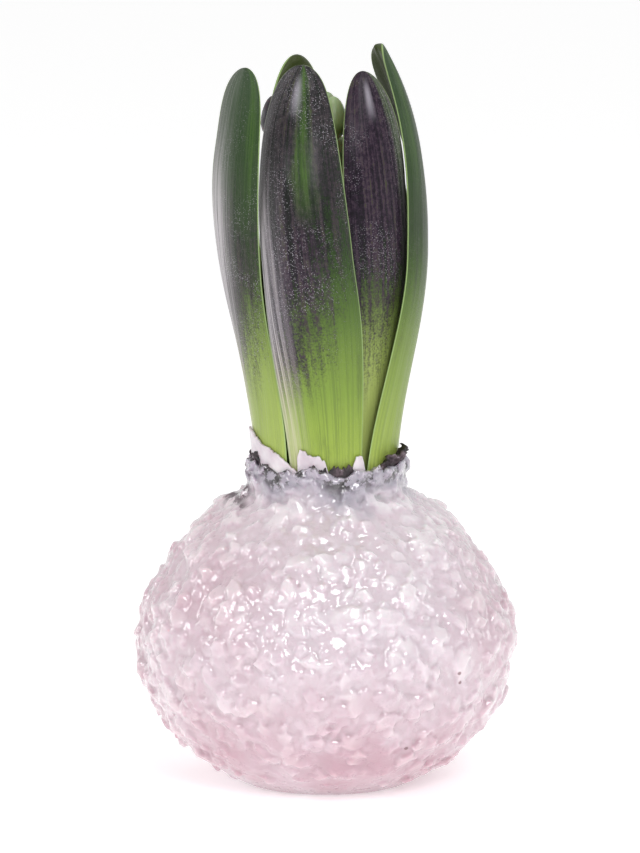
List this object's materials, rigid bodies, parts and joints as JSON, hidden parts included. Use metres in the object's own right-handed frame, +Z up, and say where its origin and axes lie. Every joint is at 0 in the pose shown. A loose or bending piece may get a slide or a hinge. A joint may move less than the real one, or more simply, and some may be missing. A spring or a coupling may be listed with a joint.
{
  "type": "wax-coated hyacinth bulb",
  "caption": "Hyacinth bulb dipped in lumpy pale wax, with blunt fleshy leaves standing round a flower spike that is still closed; it stands on a flat under the wax.",
  "frame": {"origin": "middle of the object's box in X and Y, on the flat that it stands on", "axes": "+Z up along the neck, -Y towards the front of the plant, +X to the right as seen from the front"},
  "size_m": [0.0686, 0.0688, 0.1333],
  "materials": {
    "wax": "pale pink-lavender wax with flakes in it, glossy and slightly translucent",
    "bulb": "fleshy bulb under its skin, hidden by the wax",
    "dry_skin": "dry papery bulb skin, dark brown-purple",
    "leaf": "smooth waxy leaf, yellow-green below and purple-black above, finely striped",
    "stalk": "smooth pale green flower stalk",
    "floret": "closed bud, green with a dark purple flush"
  },
  "bodies": {
    "root": {"wax_coating": "wax", "bulb": "bulb", "tunic_left": "dry_skin", "tunic_front": "dry_skin", "tunic_right": "dry_skin", "tunic_back": "dry_skin", "leaf_front": "leaf", "leaf_left": "leaf", "leaf_right": "leaf", "leaf_right_inner": "leaf", "leaf_back_left": "leaf", "leaf_back_right": "leaf", "flower_stalk": "stalk", "floret_01": "floret", "floret_02": "floret", "floret_03": "floret", "floret_04": "floret", "floret_05": "floret", "floret_06": "floret", "floret_07": "floret", "floret_08": "floret", "floret_09": "floret", "floret_10": "floret", "floret_11": "floret", "floret_12": "floret", "floret_13": "floret", "floret_14": "floret", "floret_15": "floret", "floret_16": "floret", "floret_17": "floret", "floret_18": "floret", "floret_19": "floret", "floret_20": "floret", "floret_21": "floret", "floret_22": "floret", "floret_23": "floret", "floret_24": "floret", "floret_25": "floret", "floret_26": "floret", "floret_27": "floret", "floret_28": "floret", "floret_29": "floret", "floret_30": "floret", "floret_31": "floret"}
  },
  "joints": []
}
